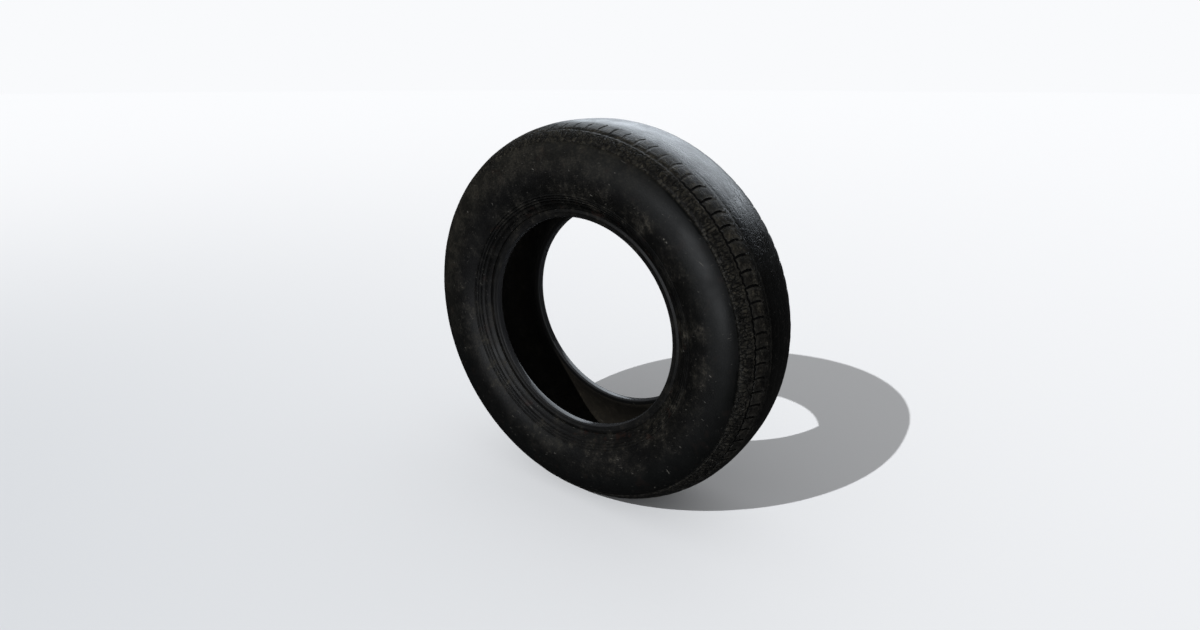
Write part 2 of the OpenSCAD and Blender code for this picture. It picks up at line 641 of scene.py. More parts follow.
@dataclass(frozen=True)
class WornRubber:
    """Vulcanised black rubber, moulded smooth, then worn, weathered and dusty.

    Carbon black makes it almost black. Road wear leaves the tread's crown smooth with a soft
    sheen, dust dulls the sidewall and the grooves, and the rim has worn the bases of the
    beads smooth and grey, a grey painted lighter still as a painted highlight. Hollows get
    painted shade, and the lips of the grooves a painted highlight.
    """

    black: str = "#050505"
    weathered: str = "#090908"
    buttress: str = "#060707"
    clean: str = "#080808"
    # Base of each bead: worn grey by the rim, and painted lighter as a painted highlight.
    rubbed: str = "#292a2c"
    inner: str = "#1c1a17"
    dust: str = "#403c33"
    pale_dust: str = "#4b4840"
    shoulder_dust: str = "#24221b"
    # Worn grey at the lips of the grooves, lighter there as a painted highlight too.
    worn_lip: str = "#2d2c28"
    # Painted shade in the grooves, in the fine cuts of the shoulder and at each bead's toe.
    painted_recess_shade: str = "#040404"
    scratch: str = "#5c5a55"
    stain: str = "#2a1710"
    specular: float = 0.38
    index: float = 1.5
    crown_roughness: float = 0.36
    block_roughness: float = 0.48
    shoulder_roughness: float = 0.55
    wall_roughness: float = 0.45
    dusty_roughness: float = 0.8
    bead_roughness: float = 0.47
    seat_roughness: float = 0.21
    # Dust lies in clouds, patches and flecks. The grains of real dust are far finer than the
    # grit and the specks, which are drawn this coarse so that they show.
    cloud: Marks = Marks(even(60.0), detail=5.0, rough=0.6, levels=(0.42, 0.62))
    mottle: Marks = Marks(even(24.0), detail=8.0, rough=0.8, levels=(0.455, 0.6))
    fleck: Marks = Marks(even(10.0), detail=4.0, rough=0.75, levels=(0.48, 0.6))
    grit: Marks = Marks(even(2.8), detail=2.0, rough=0.6, levels=(0.45, 0.6))
    speck: Marks = Marks(even(3.6), detail=2.0, levels=(0.67, 0.73))
    # Rain has drawn the dust down the tyre in streaks.
    streak: Marks = Marks((9.0, 9.0, 32.0), detail=3.0, levels=(0.4, 0.6))
    # The rim has left small rust marks.
    rust: Marks = Marks(even(18.0), detail=5.0, levels=(0.6, 0.7))
    # Short thin scuffs lie across each other. Real ones are finer, and are drawn 0.9 mm wide
    # so that they show.
    scuff: Marks = Marks(
        (26.0, 0.9, 7.0), detail=1.0, levels=(0.75, 0.8), turn=(0.3, 0.9, 0.2)
    )
    cross_scuff: Marks = Marks(
        (26.0, 0.9, 7.0), detail=1.0, levels=(0.75, 0.8), turn=(1.2, 0.1, 1.9)
    )
    # The sheen is uneven by a little everywhere.
    uneven: Marks = Marks(even(24.0), detail=3.0)
    uneven_by: float = 0.07
    # The real grain of the mould is about 0.2 mm, and is drawn coarser so that it shows.
    grain: Marks = Marks(even(1.1), detail=3.0, rough=0.6)
    # The road has drawn the crown out in fine tracks that run round the tyre. Real ones are
    # well under 1 mm wide, and are drawn this wide so that they show.
    track: Marks = Marks((30.0, 3.5, 30.0), detail=3.0, lay=Lay.RING)
    # The finest cuts of the shoulder have worn into a net of long bent cells.
    cell_mm: tuple[float, float, float] = (4.6, 10.12, 4.6)
    cell_warp: Marks = Marks(even(6.0), detail=2.0, lay=Lay.RING)
    cell_bend: float = 7.0
    # Age has opened a net of cracks in the tread, drawn wider than they are so that they show.
    crack_mm: tuple[float, float, float] = even(7.0)
    crack_warp: Marks = Marks(even(9.0), detail=2.0, lay=Lay.RING)
    crack_bend: float = 6.0
    # Radius at which a pattern that runs round the tyre has its real size.
    hoop_r: float = 230.0

    def material(self, stations: dict[Zone, float]) -> bpy.types.Material:
        """Make the material.

        Args:
            stations: Distance along the section, in millimetres, where each zone starts.

        Returns:
            The finished material.
        """
        material = bpy.data.materials.new("worn_moulded_rubber")
        material.use_nodes = True
        material.node_tree.nodes.clear()
        RubberNodes(self, material.node_tree, stations).build()
        return material


@dataclass
class RubberNodes:
    """The node tree of the worn rubber: its places, then its masks, then its shader."""

    finish: WornRubber
    tree: bpy.types.NodeTree
    stations: dict[Zone, float]
    place: dict[str, Socket] = field(init=False, default_factory=dict)
    marks: dict[str, bpy.types.Node] = field(init=False, default_factory=dict)
    masks: dict[str, Socket] = field(init=False, default_factory=dict)

    def build(self) -> None:
        """Add all the nodes, from the coordinates to the output."""
        self.find_places()
        self.lay_marks()
        self.cut_masks()
        self.join_masks()
        shader = self.out(
            "ShaderNodeBsdfPrincipled",
            inputs={
                "Base Color": self.colour(),
                "Roughness": self.roughness(),
                "Normal": self.normal(),
                "Specular IOR Level": self.finish.specular,
                "IOR": self.finish.index,
                "Metallic": 0.0,
            },
        )
        add_node(self.tree, "ShaderNodeOutputMaterial", inputs={"Surface": shader})

    def out(
        self,
        kind: str,
        settings: dict[str, object] | None = None,
        inputs: dict[str | int, object] | None = None,
        output: str | int = 0,
    ) -> Socket:
        """Add one node to the tree and pick one of its outputs.

        Args:
            kind: The node's type name.
            settings: Property values by name.
            inputs: Socket values or links by name or number.
            output: Name or number of the output.

        Returns:
            The output socket.
        """
        return add_node(self.tree, kind, settings, inputs).outputs[output]

    def join(self, terms: tuple[Term, ...], operation: str = "MULTIPLY") -> Socket | float:
        """Join masks and numbers into one share.

        Args:
            terms: Names of masks, and numbers. A name with two numbers is that mask, made to
                run from the first number to the second.
            operation: How they are joined.

        Returns:
            The share.
        """
        result: Socket | float | None = None
        for term in terms:
            value = term
            if isinstance(term, str):
                value = self.masks[term]
            elif isinstance(term, tuple):
                name, low, high = term
                value = self.out(
                    "ShaderNodeMapRange",
                    inputs={"Value": self.masks[name], "To Min": low, "To Max": high},
                )
            if result is None:
                result = value
            else:
                result = self.out(
                    "ShaderNodeMath", {"operation": operation}, {0: result, 1: value}
                )
        return result

    def find_places(self) -> None:
        """Find where on the tyre a point is, in millimetres.

        "solid" is plain coordinates. "ring" runs round the tyre and along its section, so a
        pattern on it follows the tread. "along" and "groove" are what the mesh carries.
        """
        coords = self.out("ShaderNodeTexCoord", output="Object")
        math_node = "ShaderNodeVectorMath"
        solid = self.out(math_node, {"operation": "SCALE"}, {0: coords, "Scale": 1 / MM})
        flat = self.out(math_node, {"operation": "MULTIPLY"}, {0: solid, 1: (1.0, 0.0, 1.0)})
        unit = self.out(math_node, {"operation": "NORMALIZE"}, {0: flat})
        hoop_r = self.finish.hoop_r
        hoop = self.out(math_node, {"operation": "SCALE"}, {0: unit, "Scale": hoop_r})
        for name in ("along", "groove"):
            self.place[name] = self.out(
                "ShaderNodeAttribute", {"attribute_name": name}, output="Fac"
            )
        lift = self.out("ShaderNodeCombineXYZ", inputs={"Y": self.place["along"]})
        self.place[Lay.SOLID.value] = solid
        self.place[Lay.RING.value] = self.out(
            math_node, {"operation": "ADD"}, {0: hoop, 1: lift}
        )

    def lay_marks(self) -> None:
        """Add the finish's noises, and cut those that have levels into masks."""
        for item in fields(self.finish):
            marks = getattr(self.finish, item.name)
            if not isinstance(marks, Marks):
                continue
            place = self.place[marks.lay.value]
            laid = self.out(
                "ShaderNodeMapping",
                {"vector_type": "TEXTURE"},
                {"Vector": place, "Rotation": marks.turn, "Scale": marks.size},
            )
            self.marks[item.name] = add_node(
                self.tree,
                "ShaderNodeTexNoise",
                inputs={
                    "Vector": laid,
                    "Scale": 1.0,
                    "Detail": marks.detail,
                    "Roughness": marks.rough,
                },
            )
            if marks.levels:
                low, high = marks.levels
                self.masks[item.name] = self.out(
                    "ShaderNodeMapRange",
                    inputs={
                        "Value": self.marks[item.name].outputs["Fac"],
                        "From Min": low,
                        "From Max": high,
                    },
                )

    def net(self, warp: str, bend: float, size: tuple[float, float, float]) -> Socket:
        """A net of bent cells that runs round the tyre.

        Args:
            warp: Name of the marks that bend it.
            bend: How far they bend it, in millimetres.
            size: Size of a cell in millimetres.

        Returns:
            Distance from the nearest wall of the net, in cells.
        """
        bent = self.out(
            "ShaderNodeVectorMath",
            {"operation": "MULTIPLY_ADD"},
            {
                0: self.marks[warp].outputs["Color"],
                1: even(bend),
                2: self.place[Lay.RING.value],
            },
        )
        laid = self.out(
            "ShaderNodeMapping", {"vector_type": "TEXTURE"}, {"Vector": bent, "Scale": size}
        )
        return self.out(
            "ShaderNodeTexVoronoi",
            {"feature": "DISTANCE_TO_EDGE"},
            {"Vector": laid, "Scale": 1.0},
            "Distance",
        )

    def cut_masks(self) -> None:
        """Cut the places and the nets into masks that run from 0 to 1."""
        finish, along, groove = self.finish, self.place["along"], self.place["groove"]
        edge, rings = self.stations[Zone.BUTTRESS], self.stations[Zone.RINGS]
        face, heel = self.stations[Zone.RIM_FACE], self.stations[Zone.HEEL]
        inside = self.stations[Zone.INSIDE]
        # Dust has settled on the upper left of the tyre more than elsewhere.
        upper_left = self.out(
            "ShaderNodeVectorMath",
            {"operation": "DOT_PRODUCT"},
            {0: self.place[Lay.SOLID.value], 1: (-0.6, 0.0, 0.8)},
            "Value",
        )
        cells = self.net("cell_warp", finish.cell_bend, finish.cell_mm)
        cracks = self.net("crack_warp", finish.crack_bend, finish.crack_mm)
        # Each mask comes from a value, between where it is still 0 and where it is 1.
        cuts = {
            "past_tread": (along, edge - 1.0, edge + 1.0),
            "past_buttress": (along, edge + 24.0, edge + 54.0),
            "past_sidewall": (along, rings - 6.0, rings + 4.0),
            "past_rim_line": (along, face - 1.0, face + 1.5),
            "past_heel": (along, heel + 1.0, heel + 4.0),
            "past_seat": (along, inside - 1.5, inside + 2.0),
            "past_toe": (along, inside + 5.0, inside + 9.0),
            "off_crown": (along, 30.0, 44.0),
            "on_shoulder": (along, edge - 19.5, edge - 17.5),
            "settled": (upper_left, 60.0, 200.0),
            "cell_wall": (cells, 0.16, 0.05),
            "between_cracks": (cracks, 0.0, 0.08),
            "in_groove": (groove, 0.3, 0.7),
            "lip": (groove, 0.03, 0.14),
        }
        for name, (value, low, high) in cuts.items():
            easing = "SMOOTHSTEP" if value is along else "LINEAR"
            self.masks[name] = self.out(
                "ShaderNodeMapRange",
                {"interpolation_type": easing},
                {"Value": value, "From Min": low, "From Max": high},
            )

    def join_masks(self) -> None:
        """Join masks into those that several layers share."""
        for name, terms in {
            "cleaned": ("past_rim_line", ("past_heel", 0.3, 1.0)),
            "on_wall": ("past_buttress", off("cleaned")),
            "on_buttress": ("past_tread", off("past_buttress")),
            "on_bead": ("past_rim_line", off("past_seat")),
            "on_seat": ("past_heel", off("past_seat")),
            "near_bead": ("past_sidewall", off("past_rim_line")),
            "gritty": (("fleck", 0.35, 1.0), ("grit", 0.4, 1.0), ("streak", 0.35, 1.0)),
            "dusty_wall": ("mottle", ("cloud", 0.1, 1.0), "gritty", "on_wall"),
            "on_tread": (off("past_tread"),),
            "settling": ("on_buttress", "settled"),
            "fine_cut": ("cell_wall", "on_shoulder", "on_tread"),
            "healed": ("mottle", 0.6),
        }.items():
            self.masks[name] = self.join(terms)
        for name, terms in {
            "scratched": ("scuff", "cross_scuff"),
            "dull": ("dusty_wall", "past_seat", "in_groove"),
            "uncracked": ("past_tread", "healed"),
        }.items():
            self.masks[name] = self.join(terms, "MAXIMUM")

    def colour(self) -> Socket:
        """Layer the colours: clean rubber, dust, painted shade and highlights, scratches,
        stains.

        Returns:
            The colour socket.
        """
        finish = self.finish
        # Each layer has its colour and the terms whose product says how much of it lies there.
        layers = (
            (finish.weathered, ("cloud",)),
            (finish.buttress, ("on_buttress",)),
            (finish.clean, ("on_bead",)),
            # Worn grey base of each bead, lightened as a painted highlight.
            (finish.rubbed, ("past_heel",)),
            # Painted shade over the toe and the inner face of each bead.
            (finish.painted_recess_shade, ("past_seat",)),
            (finish.inner, ("past_toe",)),
            (finish.dust, ("dusty_wall",)),
            (finish.dust, ("settling", ("mottle", 0.3, 1.0), ("grit", 0.5, 1.0), 0.35)),
            (finish.dust, ("gritty", ("mottle", 0.2, 1.0), "past_toe", 0.6)),
            (finish.dust, ("gritty", "on_tread", "off_crown", 0.8)),
            (
                finish.shoulder_dust,
                (("mottle", 0.25, 1.0), ("fleck", 0.4, 1.0), "on_shoulder", "on_tread", 0.8),
            ),
            # Worn lips of the grooves, lightened as a painted highlight.
            (finish.worn_lip, ("lip", ("fleck", 0.3, 1.0), 0.6)),
            # Painted shade down the grooves, darker the deeper they go.
            (finish.painted_recess_shade, ("in_groove",)),
            # Painted shade in the fine cuts of the shoulder.
            (finish.painted_recess_shade, ("fine_cut", 0.85)),
            (finish.pale_dust, ("speck", ("mottle", 0.2, 1.0), "on_wall", 0.4)),
            (finish.scratch, ("scratched", off("on_bead"), 0.6)),
            (finish.stain, ("rust", "near_bead", 0.3)),
            (finish.stain, ("rust", "on_buttress", 0.1)),
        )
        colour: Socket | tuple[float, float, float, float] = linear(finish.black)
        # Sockets 6 and 7 of a Mix node are its two colours, and its output 2 is the mixed one.
        for above, terms in layers:
            colour = self.out(
                "ShaderNodeMix",
                {"data_type": "RGBA"},
                {"Factor": self.join(terms), 6: colour, 7: linear(above)},
                2,
            )
        return colour

    def roughness(self) -> Socket:
        """Roughness: a polished crown, a duller wall, dull dust and a smooth seat.

        Returns:
            The roughness socket.
        """
        finish = self.finish
        level: Socket | float = finish.crown_roughness
        for mask, value in (
            ("off_crown", finish.block_roughness),
            ("on_shoulder", finish.shoulder_roughness),
            ("past_tread", finish.wall_roughness),
            ("past_rim_line", finish.bead_roughness),
            ("past_heel", finish.seat_roughness),
            ("past_seat", finish.wall_roughness),
            ("dull", finish.dusty_roughness),
        ):
            # Sockets 2 and 3 are its two numbers.
            level = self.out(
                "ShaderNodeMix",
                {"data_type": "FLOAT"},
                {"Factor": self.masks[mask], 2: level, 3: value},
            )
        spread = self.out(
            "ShaderNodeMapRange",
            inputs={
                "Value": self.marks["uneven"].outputs["Fac"],
                "From Min": 0.3,
                "From Max": 0.7,
                "To Min": -finish.uneven_by,
                "To Max": finish.uneven_by,
            },
        )
        return self.out(
            "ShaderNodeMath", {"operation": "ADD", "use_clamp": True}, {0: level, 1: spread}
        )

    def normal(self) -> Socket:
        """Bumps: fine grain, age cracks and road tracks in the tread, cuts and scratches.

        Returns:
            The normal socket.
        """
        cracked = self.out(
            "ShaderNodeMix",
            {"data_type": "FLOAT"},
            {"Factor": self.masks["uncracked"], 2: self.masks["between_cracks"], 3: 1.0},
        )
        # Each bump has its strength, its depth in metres, its height and whether it cuts in.
        # The rim has pressed the seat smooth, so the grain stops there.
        bumps = (
            (("on_seat", 0.25, 0.02), 0.0004, self.marks["grain"].outputs["Fac"], False),
            (0.38, 0.0005, cracked, False),
            (("past_tread", 0.35, 0.0), 0.0006, self.marks["track"].outputs["Fac"], False),
            (0.5, 0.0008, self.masks["fine_cut"], True),
            (0.4, 0.0003, self.masks["scratched"], True),
        )
        below: dict[str, Socket] = {}
        for strength, depth, height, cuts_in in bumps:
            strength = self.join((strength,))
            below["Normal"] = self.out(
                "ShaderNodeBump",
                {"invert": cuts_in},
                {"Strength": strength, "Distance": depth, "Height": height, **below},
            )
        return below["Normal"]


@dataclass
class Tyre:
    """The tyre: one closed mesh, cut with its worn tread and pressed flat at its foot."""

    section: TyreSection
    pattern: TreadPattern
    finish: WornRubber
    floor_z: float
    casing_columns: int = 216
    sharp_angle: float = 52.0
    tread_rows: list[TreadRow] = field(init=False)
    casing_rows: list[Row] = field(init=False)
    sipes: list[list[Sipe]] = field(init=False)
    cross_cuts: list[tuple[float, float]] = field(init=False)

    def __post_init__(self) -> None:
        """Lay out the rows of both sides and the sipes of the shoulders."""
        half = self.pattern.half_rows(self.section.edge_y)
        self.tread_rows = [
            TreadRow(-row.offset, row.cut, row.depth, row.zigzag) for row in half[:0:-1]
        ] + half
        edge = self.along_tread(self.section.edge_y + self.section.edge_step_w / 2)
        side = self.section.casing_rows(edge)
        self.casing_rows = side + [
            Row(row.radius, -row.offset, row.zone, row.along) for row in side[-2::-1]
        ]
        self.sipes = self.cut_sipes()
        rng = random.Random(self.pattern.seed + 1)
        self.cross_cuts = [
            (rng.choice(self.pattern.cross_starts), rng.uniform(*self.pattern.cross_left))
            for _ in self.sipes
        ]

    def along_tread(self, offset: float, steps: int = 60) -> float:
        """Distance along the section from the crown to a place on the tread.

        Args:
            offset: Distance of the place from the centre plane.
            steps: Number of chords that stand for the curve.

        Returns:
            The distance in millimetres.
        """
        places = [abs(offset) * step / steps for step in range(steps + 1)]
        radii = [self.section.tread_r(place) for place in places]
        return sum(
            math.hypot(places[i + 1] - places[i], radii[i + 1] - radii[i])
            for i in range(steps)
        )

    def cut_sipes(self) -> list[list[Sipe]]:
        """Choose the fine cuts of each pitch, some long, some short, some bent into ovals.

        Returns:
            A list of sipes for each pitch of the -Y side, then of the +Y side.
        """
        pattern = self.pattern
        rng = random.Random(pattern.seed)
        pitch = 2 * math.pi * self.section.outer_r / pattern.pitches
        low = self.section.edge_y - pattern.shoulder_w + pattern.groove_w / 2
        high = self.section.edge_y - pattern.step_w / 2
        gap = pitch / pattern.sipes_per_pitch
        all_sipes = []
        for _ in range(2 * pattern.pitches):
            oval = rng.random() < pattern.oval_share
            group = []
            for index in range(pattern.sipes_per_pitch):
                centre = (index + 0.5) * gap
                centre += rng.uniform(-pattern.sipe_jitter, pattern.sipe_jitter)
                start = low + rng.choice(pattern.sipe_short_by)
                end = high - rng.choice(pattern.sipe_short_by) + pattern.sipe_overrun
                bend = rng.uniform(-pattern.sipe_bend, pattern.sipe_bend)
                if oval and index in (1, 2):
                    start, end = low + pattern.oval_inset, high - pattern.oval_inset
                    bend = pattern.oval_bend if index == 1 else -pattern.oval_bend
                depth = pattern.sipe_d * rng.uniform(*pattern.sipe_left)
                lean = 0.0 if oval else rng.uniform(-pattern.sipe_lean, pattern.sipe_lean)
                link = rng.uniform(low, high) if rng.random() < pattern.link_share else 0.0
                wiggle = rng.uniform(0.0, pattern.wiggle_span)
                group.append(Sipe(centre, start, end, depth, bend, lean, link, wiggle))
            all_sipes.append(group)
        return all_sipes

    def patches(
        self, angle: float, offset: float, turn: float, length: float, shift: float = 0.0
    ) -> float:
        """A smooth noise over the tread.

        Args:
            angle: Angle round the wheel axis.
            offset: Distance from the centre plane.
            turn: How fast it changes round the tyre, where more gives shorter patches.
            length: Length of its patches across the tread, in millimetres.
            shift: Moves it, so that two noises differ.

        Returns:
            A value that is 0 on average and stays within -1 and 1.
        """
        x, z = turn * math.cos(angle), turn * math.sin(angle)
        return noise.noise(Vector((x, offset / length + shift, z)))

    def wear(self, angle: float, offset: float) -> float:
        """How much of a groove's depth is left at a place on the tread.

        Args:
            angle: Angle round the wheel axis.
            offset: Distance from the centre plane.

        Returns:
            A share from the least that is left up to 1.
        """
        pattern = self.pattern
        place = self.patches(angle, offset, turn=5.0, length=40.0, shift=3.1)
        level = smooth(*pattern.worn_levels, place)
        left = pattern.worn_low + (1 - pattern.worn_low) * level
        # One arc of the tread, at the top as it stands, has worn almost smooth.
        return left * (1 - pattern.flat_worn * smooth(*pattern.flat_arc, math.sin(angle)))

    def column_place(self, row: TreadRow, pitch_index: int, column: int) -> tuple[float, float]:
        """Place of a column within its pitch, and the depth of any cut there.

        Args:
            row: The tread row.
            pitch_index: Number of the pitch round the tyre.
            column: Number of the column in its pitch.

        Returns:
            Distance round the tyre from the start of the pitch, and depth, both in
            millimetres.
        """
        pattern = self.pattern
        pitch = 2 * math.pi * self.section.outer_r / pattern.pitches
        reach = abs(row.offset)
        number = pitch_index + (pattern.pitches if row.offset > 0 else 0)
        if row.cut is Cut.PLAIN:
            return column * pitch / pattern.columns_per_pitch, 0.0
        if row.cut is Cut.BLOCK:
            half = pattern.cross_w / 2
            foot = half + pattern.edge_round
            walls = (-foot, -half, half, foot)
            outer_y = self.section.edge_y - pattern.shoulder_w
            middle = outer_y - pattern.cross_l / 2
            share = 2 * (reach - middle) / pattern.cross_l
            slant = math.tan(math.radians(pattern.cross_slant)) * (reach - middle)
            slant += pattern.cross_bow * (1 - share * share)
            # The hair less lets a cut start on the row where it is due.
            start, left = self.cross_cuts[number]
            cut = pattern.cross_d * left if share > start - 0.01 else 0.0
            if column < len(walls):
                depth = cut if column in (1, 2) else pattern.edge_round
                return walls[column] + slant, depth
            first, last = pattern.block_clear, pitch - pattern.block_clear
            share = (column - len(walls)) / (pattern.columns_per_pitch - len(walls) - 1)
            dome = pattern.block_dome * abs(2 * share - 1) ** 3
            return first + share * (last - first) + slant, dome
        # A sipe takes three columns: one for its floor and one on either side of it.
        group = self.sipes[number]
        if column == 0:
            return 0.0, 0.0
        if column > 3 * len(group):
            return pitch - pattern.sipe_end_gap, 0.0
        sipe = group[(column - 1) // 3]
        part = (column - 1) % 3 - 1
        place = sipe.centre + sipe.shift(reach) + part * pattern.sipe_half_w
        near_link = abs(reach - sipe.link) < pattern.link_reach
        linked = pattern.link_depth * pattern.sipe_d if near_link else 0.0
        return place, sipe.depth_at(reach) if part == 0 else linked

    def shape_tread(self, bm: bmesh.types.BMesh, row_layer: Layer, groove: Layer) -> None:
        """Move the tread's vertices into its worn grooves, cross grooves and sipes.

        Args:
            bm: The mesh, in millimetres.
            row_layer: Layer with each vertex's row, counted from 1.
            groove: Layer that gets how far each vertex lies down a groove.
        """
        pattern, section = self.pattern, self.section
        pitch_angle = 2 * math.pi / pattern.pitches
        step = 2 * math.pi / pattern.columns
        inner_y = section.edge_y - pattern.shoulder_w - pattern.block_row_w
        for vert in bm.verts:
            if vert[row_layer] == 0:
                continue
            row = self.tread_rows[vert[row_layer] - 1]
            column = round(math.atan2(vert.co.z, vert.co.x) / step) % pattern.columns
            pitch_index, in_pitch = divmod(column, pattern.columns_per_pitch)
            around, cut = self.column_place(row, pitch_index, in_pitch)
            # The cross grooves of the two sides are half a pitch apart.
            shift = 0.5 * (1 - smooth(-inner_y, inner_y, row.offset))
            angle = (pitch_index + shift) * pitch_angle + around / section.outer_r
            offset = row.offset
            turn = (angle / pitch_angle - shift) % 1.0
            sway = row.zigzag * (0.5 - abs(2 * turn - 1))
            offset += math.copysign(sway, row.offset)
            left = self.wear(angle, offset)
            depth = max(row.depth, cut) * left
            sag = pattern.sag * (0.5 + self.patches(angle, offset, turn=9.0, length=30.0))
            deep = depth + max(0.0, sag)
            slope = section.tread_slope(abs(offset))
            radius = section.tread_r(offset) - deep * math.cos(slope)
            offset -= math.copysign(deep * math.sin(slope), offset)
            vert.co = (radius * math.cos(angle), offset, radius * math.sin(angle))
            # The step at the tread's edge gets only a share of a groove's painted shade.
            on_step = abs(row.offset) > section.edge_y - pattern.step_w
            shade = pattern.step_dark if on_step else 1.0
            vert[groove] = min(1.0, shade * depth / pattern.dark_from)

    def spin(
        self,
        bm: bmesh.types.BMesh,
        points: list[tuple[float, float]],
        columns: int,
        values: list[dict[Layer, float]],
        sectors: int = 1,
    ) -> None:
        """Spin a line of points round the wheel axis.

        A line with many columns is spun through one sector, and the sector is repeated,
        because that is many times faster.

        Args:
            bm: The mesh that gets the hoops.
            points: Radius and distance from the centre plane of each point.
            columns: Number of columns in the full turn.
            values: Layer values of each point.
            sectors: Number of equal sectors that the turn is made of.
        """
        axis, turn = (0.0, 1.0, 0.0), 2 * math.pi
        verts = []
        for (radius, offset), layers in zip(points, values):
            vert = bm.verts.new((radius, offset, 0.0))
            for layer, value in layers.items():
                vert[layer] = value
            verts.append(vert)
        edges = [bm.edges.new(pair) for pair in zip(verts, verts[1:])]
        if sectors == 1:
            bmesh.ops.spin(
                bm, geom=verts + edges, axis=axis, angle=turn, steps=columns, use_merge=True
            )
            return
        bmesh.ops.spin(
            bm, geom=verts + edges, axis=axis, angle=turn / sectors, steps=columns // sectors
        )
        bmesh.ops.spin(
            bm,
            geom=bm.verts[:] + bm.edges[:] + bm.faces[:],
            axis=axis,
            angle=turn * (sectors - 1) / sectors,
            steps=sectors - 1,
            use_duplicate=True,
        )
        bmesh.ops.remove_doubles(bm, verts=bm.verts[:], dist=0.01)

    def build(self) -> bpy.types.Object:
        """Make the tyre's mesh, dress it and hand it to the frame.

        Returns:
            The finished object.
        """
        bm = bmesh.new()
        row_layer = bm.verts.layers.int.new("row")
        along = bm.verts.layers.float.new("along")
        groove = bm.verts.layers.float.new("groove")
        tread_r = self.section.tread_r
        tread_points = [(tread_r(row.offset), row.offset) for row in self.tread_rows]
        tread_values = [
            {row_layer: number + 1, along: self.along_tread(row.offset)}
            for number, row in enumerate(self.tread_rows)
        ]
        columns, pitches = self.pattern.columns, self.pattern.pitches
        self.spin(bm, tread_points, columns, tread_values, pitches)
        self.shape_tread(bm, row_layer, groove)
        casing_points = [(row.radius, row.offset) for row in self.casing_rows]
        casing_values = [{along: row.along} for row in self.casing_rows]
        self.spin(bm, casing_points, self.casing_columns, casing_values)
        open_edges = [edge for edge in bm.edges if edge.is_boundary]
        for side in (-1, 1):
            rims = [edge for edge in open_edges if edge.verts[0].co.y * side > 0]
            bmesh.ops.bridge_loops(bm, edges=rims)
        for vert in bm.verts:
            vert.co.z = max(vert.co.z, self.floor_z)
        bm.verts.layers.int.remove(row_layer)
        bmesh.ops.scale(bm, vec=(MM, MM, MM), verts=bm.verts[:])
        bmesh.ops.recalc_face_normals(bm, faces=bm.faces[:])
        return self.dress(bm)

    def dress(self, bm: bmesh.types.BMesh) -> bpy.types.Object:
        """Turn the mesh into the tyre's object, with its finish and its place in the frame.

        Args:
            bm: The finished mesh, in metres.

        Returns:
            The object.
        """
        for face in bm.faces:
            face.smooth = True
        mesh = bpy.data.meshes.new("worn_tyre")
        bm.to_mesh(mesh)
        bm.free()
        mesh.set_sharp_from_angle(angle=math.radians(self.sharp_angle))
        piece = bpy.data.objects.new("worn_tyre", mesh)
        bpy.context.scene.collection.objects.link(piece)
        mesh.materials.append(self.finish.material(self.stations()))
        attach(piece, BODY)
        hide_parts(NODE)
        return piece

    def stations(self) -> dict[Zone, float]:
        """Find where each zone of the casing starts.

        Returns:
            The distance along the section of each zone's first row, in millimetres.
        """
        found: dict[Zone, float] = {}
        for row in self.casing_rows[: len(self.casing_rows) // 2]:
            found.setdefault(row.zone, row.along)
        return found


@dataclass(frozen=True)
class MattWhitePaint:
    """Matt white paint, rolled on a smooth floor, so it is even and has no sheen of its own.

    It is painted a little darker round one spot at the near left, a painted shade.
    """

    far: str = "#f2f3f5"
    # Colour of the painted shade at its spot, fading to far away from it.
    near: str = "#c4c8cd"
    painted_shade_spot: tuple[float, float, float] = (-0.9, -1.7, 0.0)
    near_size: float = 1.6

    def material(self) -> bpy.types.Material:
        """Make the material.

        Returns:
            The finished material.
        """
        material = bpy.data.materials.new("matt_white_paint")
        material.use_nodes = True
        tree = material.node_tree
        tree.nodes.clear()
        place = add_node(tree, "ShaderNodeTexCoord").outputs["Object"]
        flat = add_node(
            tree,
            "ShaderNodeVectorMath",
            {"operation": "MULTIPLY"},
            {0: place, 1: (1.0, 1.0, 0.0)},
        ).outputs[0]
        away = add_node(
            tree,
            "ShaderNodeVectorMath",
            {"operation": "DISTANCE"},
            {0: flat, 1: self.painted_shade_spot},
        ).outputs["Value"]
        square = add_node(
            tree,
            "ShaderNodeMath",
            {"operation": "MULTIPLY_ADD"},
            {0: away, 1: away, 2: self.near_size**2},
        ).outputs[0]
        fade = add_node(
            tree,
            "ShaderNodeMath",
            {"operation": "DIVIDE", "use_clamp": True},
            {0: self.near_size**2, 1: square},
        ).outputs[0]
        shade = add_node(
            tree,
            "ShaderNodeMix",
            {"data_type": "RGBA"},
            {"Factor": fade, 6: linear(self.far), 7: linear(self.near)},
        ).outputs[2]
        shader = add_node(
            tree, "ShaderNodeBsdfDiffuse", inputs={"Color": shade, "Roughness": 0.0}
        )
        add_node(tree, "ShaderNodeOutputMaterial", inputs={"Surface": shader.outputs["BSDF"]})
        return material


@dataclass(frozen=True)
class Panel:
    """A soft panel of light.

    It stands at an azimuth, an elevation and a distance, in the degrees of direction() and in
    metres. Its size is a width and a height in metres, and its power is in watts.
    """

    name: str
    at: tuple[float, float, float]
    size: tuple[float, float]
    power: float
    tint: str

    def build(self) -> bpy.types.Object:
        """Add the panel, which only the rubber mirrors, so it throws no second shadow.

        Returns:
            The panel's object.
        """
        light = bpy.data.lights.new(self.name, "AREA")
        light.shape = "RECTANGLE"
        light.size, light.size_y = self.size
        light.energy = self.power
        light.color = linear(self.tint)[:3]
        panel = bpy.data.objects.new(self.name, light)
        azimuth, elevation, distance = self.at
        towards = direction(azimuth, elevation)
        panel.location = towards * distance
        panel.rotation_euler = towards.to_track_quat("Z", "Y").to_euler()
        panel.visible_diffuse = False
        panel.visible_camera = False
        bpy.context.scene.collection.objects.link(panel)
        return panel


